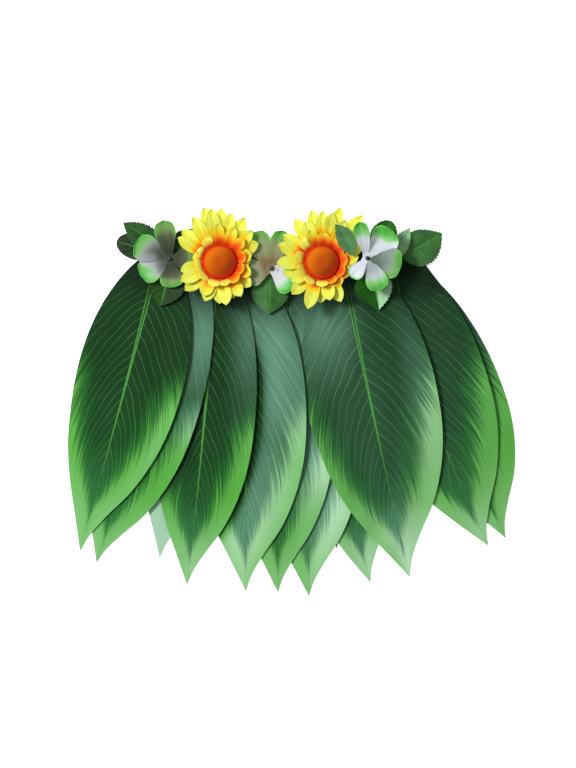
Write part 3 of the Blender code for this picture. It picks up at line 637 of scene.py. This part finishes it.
def flock(name):
    """The button's orange fuzz, dark on one side as painted shade, and red round the foot."""
    m = Shade(name, roughness=0.9, Specular_IOR_Level=0.1)
    u = m.uv("leaf")[1]
    cx, cy = m.uv("cloth")
    # Painted shade: the fuzz turns dark towards one side of the button
    side = m.plus(m.times(cx, 30), m.times(cy, -22))
    grain = m.noise(cx, cy, 1500, 1500, 2.0)
    middle = m.mix(m.step(side, -0.5, 0.5), rgb(206, 104, 6), rgb(136, 42, 3))
    colour = m.mix(m.minus(1.0, m.step(u, 0.1, 0.6)), middle, rgb(176, 70, 5))
    colour = m.mix(m.step(u, 0.78, 0.97), colour, rgb(196, 30, 5))
    colour = m.mix(m.times(grain, 0.35), colour, rgb(120, 48, 4))
    return m.finish(colour, grain, depth=0.0005, strength=0.6)


def elastic(name):
    """Black ribbed elastic."""
    m = Shade(name, roughness=0.8, Sheen_Weight=0.2)
    cx, cy = m.uv("cloth")
    rib = m.math("SINE", m.times(cy, 2 * math.pi / BAND_RIB))
    wale = m.math("SINE", m.times(cx, 2 * math.pi / BAND_WALE))
    height = m.plus(rib, m.times(wale, 0.4))
    colour = m.mix(m.math("MULTIPLY_ADD", rib, 0.5), rgb(14, 14, 16), rgb(34, 34, 38))
    return m.finish(colour, height, depth=0.0003, strength=0.6)


def plain(name, colour, roughness):
    m = Shade(name, roughness=roughness)
    x = m.node("TexNoise", {"Scale": 260.0, "Detail": 3.0}).outputs[0]
    lighter = (*(c * 1.6 for c in colour[:3]), 1)
    return m.finish(m.mix(m.times(x, 0.5), colour, lighter), x, depth=0.0002, strength=0.3)


# Meshes

def linked(name, data):
    made = bpy.data.objects.new(name, data)
    bpy.context.scene.collection.objects.link(made)
    return made


def add_uv(mesh, **maps):
    """UV maps that hold one row of values for each vertex."""
    loops = np.empty(len(mesh.loops), int)
    mesh.loops.foreach_get("vertex_index", loops)
    for label, values in maps.items():
        layer = mesh.uv_layers.new(name=label)
        layer.data.foreach_set("uv", np.array(values, np.float32)[loops].ravel())


def shell(name, points, faces, thickness, leaf_uv, cloth_uv, tone, finish):
    """A closed thin sheet whose underside is this grid of points."""
    points = np.asarray(points, float)
    quads = np.array([f if len(f) == 4 else (*f, f[2]) for f in faces])
    diagonals = np.cross(points[quads[:, 2]] - points[quads[:, 0]], points[quads[:, 3]] - points[quads[:, 1]])
    three = quads[:, 2] == quads[:, 3]
    flat = np.cross(points[quads[:, 1]] - points[quads[:, 0]], points[quads[:, 2]] - points[quads[:, 0]])
    diagonals[three] = flat[three]
    normal = np.zeros_like(points)
    for corner in range(4):
        np.add.at(normal, quads[:, corner], diagonals)
    normal /= np.maximum(np.linalg.norm(normal, axis=1, keepdims=True), 1e-12)
    count = len(points)
    every = np.vstack([points, points + normal * thickness])
    edges = {(f[k], f[(k + 1) % len(f)]) for f in faces for k in range(len(f))}
    rim = [(b + count, a + count, a, b) for a, b in edges if (b, a) not in edges]
    rim.sort()
    solid = [tuple(i + count for i in f) for f in faces] + [tuple(reversed(f)) for f in faces] + rim
    mesh = bpy.data.meshes.new(name)
    mesh.from_pydata(every.tolist(), [], solid)
    add_uv(mesh, leaf=np.vstack([leaf_uv, leaf_uv]), cloth=np.vstack([cloth_uv, cloth_uv]))
    store = mesh.attributes.new("tone", "FLOAT", "POINT")
    store.data.foreach_set("value", np.concatenate([tone, tone]).astype(np.float32))
    mesh.shade_smooth()
    mesh.set_sharp_from_angle(angle=math.radians(50))
    mesh.materials.append(finish)
    return linked(name, mesh)


def leaf_grid(rows, columns):
    even = np.linspace(0, 1, rows + 1)
    u = (0.5 * even + 0.25 * (1 - np.cos(np.pi * even)))[:-1]
    u, s = np.meshgrid(u, np.linspace(-1, 1, columns + 1), indexing="ij")
    across = columns + 1
    faces = [
        ((r + 1) * across + c, (r + 1) * across + c + 1, r * across + c + 1, r * across + c)
        for r in range(rows - 1) for c in range(columns)
    ]
    last = (rows - 1) * across
    faces += [(rows * across, last + c + 1, last + c) for c in range(columns)]
    return np.append(u, 1.0), np.append(s, 0.0), faces


def dress(piece, node):
    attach(piece, "root")
    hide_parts(node)


def cut_length(leaf):
    line = midrib(leaf, np.linspace(0, 1, 41))[0]
    return float(np.linalg.norm(np.diff(line, axis=0), axis=1).sum())


def long_leaf(index, leaf, below, over_band, grid, finish, slot):
    u, s, faces = leaf_grid(*grid)
    plan = leaf_plan(leaf, LEAF_PROFILE, u, s)
    height = rest_height(plan, below, over_band) + own_height(leaf, u, s)
    if slot == "leaf_print":
        # Light ripples, and the crease of the midrib
        along = np.sin(np.pi * np.clip(u, 0, 1)) ** 0.8
        phase = 1.7 * index
        ripple = 0.00025 * np.sin(9 * u + 3.1 * s + phase) + 0.00015 * np.sin(21 * u - 5 * s + 2.3 * phase)
        crease = 0.0002 * np.exp(-(np.abs(s) * leaf.right / 0.004) ** 2)
        height = height + (ripple + 0.0004 - crease) * along
    # Tone: painted teal sheen, and below 0 painted shade beside the leaf that lies on top
    tone = np.zeros(len(u))
    for at, across, reach, wide, strength in SHEEN.get(leaf.name, ()):
        patch = np.exp(-((u - at) / reach) ** 2 - ((s - across) / wide) ** 2)
        tone = np.maximum(tone, strength * patch)
    # Painted shade beside the edge of the leaf that lies on top
    if leaf.name in LEAF_SHADE:
        name, reach, strength = LEAF_SHADE[leaf.name]
        above = next(other for other in FRONT_LEAVES if other.name == name)
        outside = locate(above, LEAF_PROFILE, plan)[2]
        shade = strength * np.exp(-(outside / reach) ** 1.5) * np.clip(6 * u - 1.2, 0, 1)
        tone = tone * (1 - shade) - shade
    length = cut_length(leaf)
    leaf_uv = np.column_stack([(s + 1) / 2, u])
    cloth_uv = np.column_stack([s * half_width(leaf, LEAF_PROFILE, u, s), u * length + index])
    piece = shell(leaf.name + "_cloth", np.column_stack([plan, height]), faces, LEAF_CLOTH,
                  leaf_uv, cloth_uv, tone, finish)
    wide = leaf.left + leaf.right
    dress(piece, leaf.name)


def sprig_leaf(sprig, finish):
    u, s, faces = leaf_grid(*SPRIG_GRID)
    teeth = np.mod(u * SPRIG_TEETH, 1)
    edge = np.clip(np.abs(s) * 10 - 9, 0, 1)
    depth = WORN_TOOTH_DEPTH if sprig.name == "sprig_leaf_2" else TOOTH_DEPTH
    tooth = depth * (teeth - 0.5) * edge
    tooth = tooth * np.sin(np.pi * np.clip(u, 0, 1)) ** 0.5
    profile = BLUNT_PROFILE if sprig.name in BLUNT_SPRIGS else SPRIG_PROFILE
    plan = leaf_plan(sprig, profile, u, s, tooth)
    height = sprig.drape * rest_height(plan, BACK_LEAVES + FRONT_LEAVES, True)
    height = height + sprig.lift + sprig.rise * u**2 + sprig.fold * np.abs(s) * np.sin(np.pi * u)
    puff = np.abs(np.sin(np.pi * (7 * (u - 0.3 * np.abs(s)) + 0.2)))
    height = height + 0.0003 * puff * np.sin(np.pi * np.abs(s)) * np.sin(np.pi * u)
    height = height + SPRIG_EASE
    tone = np.full(len(u), SPRIG_TONE.get(sprig.name, 0.0))
    # Halves that differ in tone, partly painted light and shade on the two sides of the fold
    if sprig.name in HALF_TONE:
        left, right = HALF_TONE[sprig.name]
        tone = np.where(s > 0, right, left) * np.clip(np.abs(s) * 6, 0, 1)
    length = cut_length(sprig)
    leaf_uv = np.column_stack([(s + 1) / 2, u])
    cloth_uv = np.column_stack([s * half_width(sprig, profile, u, s), u * length])
    piece = shell(sprig.name + "_cloth", np.column_stack([plan, height]), faces, LEAF_CLOTH,
                  leaf_uv, cloth_uv, tone, finish)
    dress(piece, sprig.name)


def waistband(finish):
    """The sewn loop, built on the middle surface of its wall."""
    middle = (BAND_WALL + BAND_SLOT) / 2
    x = BAND_X + np.linspace(-BAND_HALF_LENGTH + middle, BAND_HALF_LENGTH - middle, 191)
    turn = np.linspace(-math.pi / 2, math.pi / 2, 10)[1:-1]
    loop = [(px, -middle) for px in x]
    loop += [(x[-1] + middle * math.cos(t), middle * math.sin(t)) for t in turn]
    loop += [(px, middle) for px in x[::-1]]
    loop += [(x[0] - middle * math.cos(t), -middle * math.sin(t)) for t in turn]
    loop = np.array(loop)
    rows = np.linspace(-BAND_HALF_WIDTH, BAND_HALF_WIDTH, 13)
    count, wide = len(loop), len(rows)
    run = np.concatenate([[0], np.cumsum(np.linalg.norm(np.diff(loop, axis=0), axis=1))])
    px = np.repeat(loop[:, 0], wide)
    py = band_line(px) + np.tile(rows, count)
    plan = np.column_stack([px, py])
    ground = rest_height(plan, BACK_LEAVES, False)
    wave = BAND_WAVE * np.sin(px * 2 * math.pi / BAND_WAVE_PITCH)
    z = ground + BAND_WALL / 2 + middle + np.repeat(loop[:, 1], wide) + wave
    faces = [
        (wide * i + r, wide * i + r + 1, wide * ((i + 1) % count) + r + 1, wide * ((i + 1) % count) + r)
        for i in range(count) for r in range(wide - 1)
    ]
    points = np.column_stack([px, py, z])
    uv = np.column_stack([np.repeat(run / run[-1], wide), np.tile(np.linspace(0, 1, wide), count)])
    cloth = np.column_stack([np.repeat(run, wide), np.tile(rows, count)])
    piece = shell("waistband_cloth", points, faces, BAND_CLOTH, uv, cloth, np.zeros(len(px)), finish)
    dress(piece, "waistband")


def rosette(name, centre, hub, profile, rows, columns, petals, height, tones, finish):
    """A die-cut ring of petals round a hub, on a fine grid. Beyond the hub each petal overlaps the next."""
    order = sorted(range(len(petals)), key=lambda i: petals[i].azimuth % 360)
    petals = [petals[i] for i in order]
    tones = [tones[i] for i in order]
    count = len(petals)
    azimuth = [p.azimuth % 360 for p in petals]
    gap = [((azimuth[(i + 1) % count] - azimuth[i]) % 360) / 2 for i in range(count)]
    half_columns = columns // 2
    points, uv, cloth, tone, faces = [], [], [], [], []

    def put(x, y, z, a, b, shade):
        points.append((x, y, z))
        uv.append((a, b))
        cloth.append((x, y))
        tone.append(shade)
        return len(points) - 1

    middle = put(0, 0, height(0.0, petals[0], 0.0, 0.0), 0.5, 0.0, np.mean(tones))
    start = len(points)
    for i, petal in enumerate(petals):
        low, high = azimuth[i] - gap[i - 1], azimuth[i] + gap[i]
        turns = np.concatenate([np.linspace(low, azimuth[i], half_columns + 1)[:-1],
                                np.linspace(azimuth[i], high, half_columns + 1)[:-1]])
        for k, turn in enumerate(turns):
            angle = math.radians(turn)
            put(hub * math.cos(angle), hub * math.sin(angle), height(hub, petal, 0.0, 0.0), k / columns, 0.0,
                tones[i])
    total = count * columns
    faces += [(middle, start + k, start + (k + 1) % total) for k in range(total)]
    shares = np.linspace(-1, 1, columns + 1)
    for i, petal in enumerate(petals):
        angle = math.radians(azimuth[i])
        ahead = np.array([math.cos(angle), math.sin(angle)])
        side = np.array([-ahead[1], ahead[0]])
        row = [start + (columns * i + k) % total for k in range(columns + 1)]
        for u in rows[:-1]:
            r = hub + (petal.reach - hub) * u
            free = min(max((r - hub - 0.0015) / 0.005, 0), 1) * OVERLAP
            new = []
            for s in shares:
                limit = gap[i - 1] if s < 0 else gap[i]
                most = r * math.tan(math.radians(min(limit, 80))) - 0.0005 + free
                half = min(float(smooth(profile, u)) * petal.half, most)
                x, y = ahead * r + side * s * half
                new.append(put(x, y, height(r, petal, s, u), (s + 1) / 2, u, tones[i]))
            faces += [(row[k], new[k], new[k + 1], row[k + 1]) for k in range(columns)]
            row = new
        x, y = ahead * petal.reach
        tip = put(x, y, height(petal.reach, petal, 0.0, 1.0), 0.5, 1.0, tones[i])
        faces += [(row[k], tip, row[k + 1]) for k in range(columns)]
    points = np.array(points) + (*centre, 0)
    return shell(name, points, faces, PETAL_CLOTH, np.array(uv), np.array(cloth), np.array(tone), finish)


def blossom(name, centre, lift, petals, finish):
    base = seat_height(centre, BLOSSOM_SEAT) + lift

    def height(r, petal, s, u):
        past = max(r - BLOSSOM_HUB, 0)
        share = past / (petal.reach - BLOSSOM_HUB)
        z = base + past * math.tan(math.radians(petal.slope)) * (1 - 0.25 * share) + 0.0022 * s * s * share
        ruffle = 0.0004 * math.sin(7 * s + petal.azimuth) * share
        droop = -0.0150 * max(share - 0.72, 0) ** 2
        return z + ruffle + droop + 0.0009 * s * min(share * 2, 1)

    rows = np.concatenate([np.linspace(0, 0.9, 19)[1:], [0.94, 0.97, 0.99, 1]])
    piece = rosette(name + "_cloth", centre, BLOSSOM_HUB, ROUND_PETAL, rows, 16, petals, height,
                    BLOSSOM_SHADE[name], finish)
    dress(piece, name + "_petals")


def sunflower(name, centre, lift, rosettes, finishes, disc_finish):
    base = seat_height(centre, SUNFLOWER_SEAT) + lift
    for index, ring in enumerate(rosettes):
        def height(r, petal, s, u, ring=ring):
            open_share = 0.5 + 0.5 * math.cos(math.radians(petal.azimuth - OPEN_SIDE))
            slope = ring.closed_slope + (ring.open_slope - ring.closed_slope) * open_share
            past = max(r - SUNFLOWER_HUB, 0)
            near = min(past / 0.010, 1)
            crease = 0.0013 * (abs(s) ** 0.8) * near
            bow = 0.0016 * math.sin(math.pi * u) * (0.4 + open_share)
            twist = 0.0009 * s * near + 0.0006 * s * math.sin(petal.azimuth * 3.7) * near
            return base + ring.height + past * math.tan(math.radians(slope)) + crease + bow + twist

        petals = [Petal(azimuth, reach / 1000, ring.half, 0) for azimuth, reach in ring.petals]
        # Tone of each petal: high on the open side, where the red reaches further, low on the closed side,
        # where painted light makes it paler
        own, side, towards = (0.2, 1.0, 20) if ring.name == "inner" else (0.5, 0.8, 25)
        tones = [own * math.sin(2.4 * i + index) + side * math.cos(math.radians(p.azimuth - towards))
                 for i, p in enumerate(petals)]
        rows = np.concatenate([np.linspace(0, 0.88, 12)[1:], [0.93, 0.97, 1]])
        piece = rosette(f"{name}_{ring.name}_cloth", centre, SUNFLOWER_HUB, POINTED_PETAL, rows, 10, petals,
                        height, tones, finishes[index])
        dress(piece, f"{name}_{ring.name}_petals")
    top = base + rosettes[-1].height + 0.0010 + SEAM_GAP
    disc(name, centre, top, disc_finish)


def disc(name, centre, base, finish):
    """The flocked button, domed and finely pitted."""
    radius, rise = SUNFLOWER_DISC
    sides, rings = 64, 22
    points = [(centre[0], centre[1], base)]
    uv = [(0.5, 1.0)]
    cloth = [(0.0, 0.0)]
    profile = [(1.0, 0.0), (1.01, 0.12), (1.0, 0.25)]
    profile += [(math.cos(t), 0.25 + 0.75 * math.sin(t)) for t in np.linspace(0, math.pi / 2, rings)[1:-1]]
    for j, (share, up) in enumerate(profile):
        for k in range(sides):
            angle = 2 * math.pi * (k + 0.5 * (j % 2)) / sides
            pit = 1 + (0.012 * math.sin(19 * angle + 5 * j) * math.sin(2.1 * j) if j > 2 else 0)
            x, y = radius * share * pit * math.cos(angle), radius * share * pit * math.sin(angle)
            points.append((centre[0] + x, centre[1] + y, base + rise * up))
            uv.append((k / sides, share))
            cloth.append((x, y))
    points.append((centre[0], centre[1], base + rise))
    uv.append((0.5, 0.0))
    cloth.append((0.0, 0.0))
    faces = []
    last = 1 + (len(profile) - 1) * sides
    for k in range(sides):
        after = (k + 1) % sides
        faces.append((0, 1 + after, 1 + k))
        for j in range(len(profile) - 1):
            low, high = 1 + j * sides, 1 + (j + 1) * sides
            faces.append((low + k, low + after, high + after, high + k))
        faces.append((last + k, last + after, len(points) - 1))
    mesh = bpy.data.meshes.new(name + "_flock")
    mesh.from_pydata(points, [], faces)
    add_uv(mesh, leaf=uv, cloth=cloth)
    mesh.shade_smooth()
    mesh.materials.append(finish)
    made = linked(name + "_flock", mesh)
    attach(made, "root")
    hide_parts(name + "_disc")


# The stage

def area_light(name, place, size, power):
    """A round lamp that faces the middle of the skirt."""
    light = bpy.data.lights.new(name, "AREA")
    light.shape = "DISK"
    light.size = size
    light.energy = power
    made = linked(name, light)
    made.location = place
    made.rotation_euler = (-Vector(place)).to_track_quat("-Z", "Y").to_euler()


def stage():
    scene = bpy.context.scene
    mesh = bpy.data.meshes.new("floor")
    corners = [(x * FLOOR_HALF, y * FLOOR_HALF, 0) for x, y in ((-1, -1), (1, -1), (1, 1), (-1, 1))]
    mesh.from_pydata(corners, [], [(0, 1, 2, 3)])
    floor = linked("floor", mesh)
    floor.location.z = -FLOOR_GAP
    paper = Shade("white_paper", roughness=0.9)
    paper.shader.inputs["Base Color"].default_value = (0.93, 0.93, 0.93, 1)
    paper.shader.inputs["Emission Color"].default_value = (1, 1, 1, 1)
    paper.shader.inputs["Emission Strength"].default_value = PAPER_GLOW
    mesh.materials.append(paper.mat)

    camera = bpy.data.cameras.new("camera")
    camera.sensor_fit = "VERTICAL"
    camera.sensor_height = SENSOR
    camera.lens = SENSOR * CAMERA_DISTANCE / PICTURE_HEIGHT
    camera.clip_end = 20
    scene.camera = linked("camera", camera)
    scene.camera.location = (*PICTURE_CENTRE, CAMERA_DISTANCE)

    world = bpy.data.worlds.new("studio")
    world.use_nodes = True
    world.node_tree.nodes["Background"].inputs[0].default_value = (1, 1, 1, 1)
    world.node_tree.nodes["Background"].inputs[1].default_value = WORLD_LIGHT
    scene.world = world
    area_light("key", (-1.10, 0.55, 1.70), size=0.5, power=46)
    area_light("top", (-0.3, 0.5, 2.2), size=1.2, power=9)
    scene.view_settings.view_transform = "Standard"


def main():
    leaf_cloth = leaf_print("leaf_print_cloth", start=0.38)
    right_cloth = leaf_print("leaf_print_right_cloth", start=0.28)
    pale_cloth = leaf_print("leaf_pale_cloth", start=0.33, pale_side=True)
    for i, leaf in enumerate(BACK_LEAVES):
        finish = leaf_cloth if leaf.name == "back_leaf_5" else pale_cloth
        long_leaf(i, leaf, BACK_LEAVES[:i], False, BACK_GRID, finish, "leaf_back")
    waistband(elastic("elastic_cloth"))
    for i, leaf in enumerate(FRONT_LEAVES):
        finish = right_cloth if leaf.name in RIGHT_LEAVES else leaf_cloth
        long_leaf(i + len(BACK_LEAVES), leaf, BACK_LEAVES + FRONT_LEAVES[:i], True, FRONT_GRID, finish,
                  "leaf_print")
    green = sprig_surface("sprig_cloth")
    for sprig in SPRIGS:
        sprig_leaf(sprig, green)
    for name, centre, lift, petals in BLOSSOMS:
        blossom(name, centre, lift, petals, blossom_petal(name + "_petal_cloth", *BLOSSOM_CLOTH[name]))
    yellow = [sunflower_petal("sunflower_outer_cloth", redden=0.12, closed_painted_light=0.0),
              sunflower_petal("sunflower_middle_cloth", redden=0.16, closed_painted_light=0.2),
              sunflower_petal("sunflower_inner_cloth", redden=0.10, closed_painted_light=0.95)]
    button = flock("flock_cloth")
    for name, centre, lift, rosettes in SUNFLOWERS:
        sunflower(name, centre, lift, rosettes, yellow, button)
    stem = plain("stem_plastic", rgb(48, 96, 40), 0.5)
    eye = plain("eye_plastic", rgb(24, 24, 22), 0.4)
    for node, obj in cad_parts.items():
        if node.endswith(("_stem", "_calyx", "_eye")):
            for slot in obj.material_slots:
                slot.link = "OBJECT"
                slot.material = eye if node.endswith("_eye") else stem
    stage()


main()
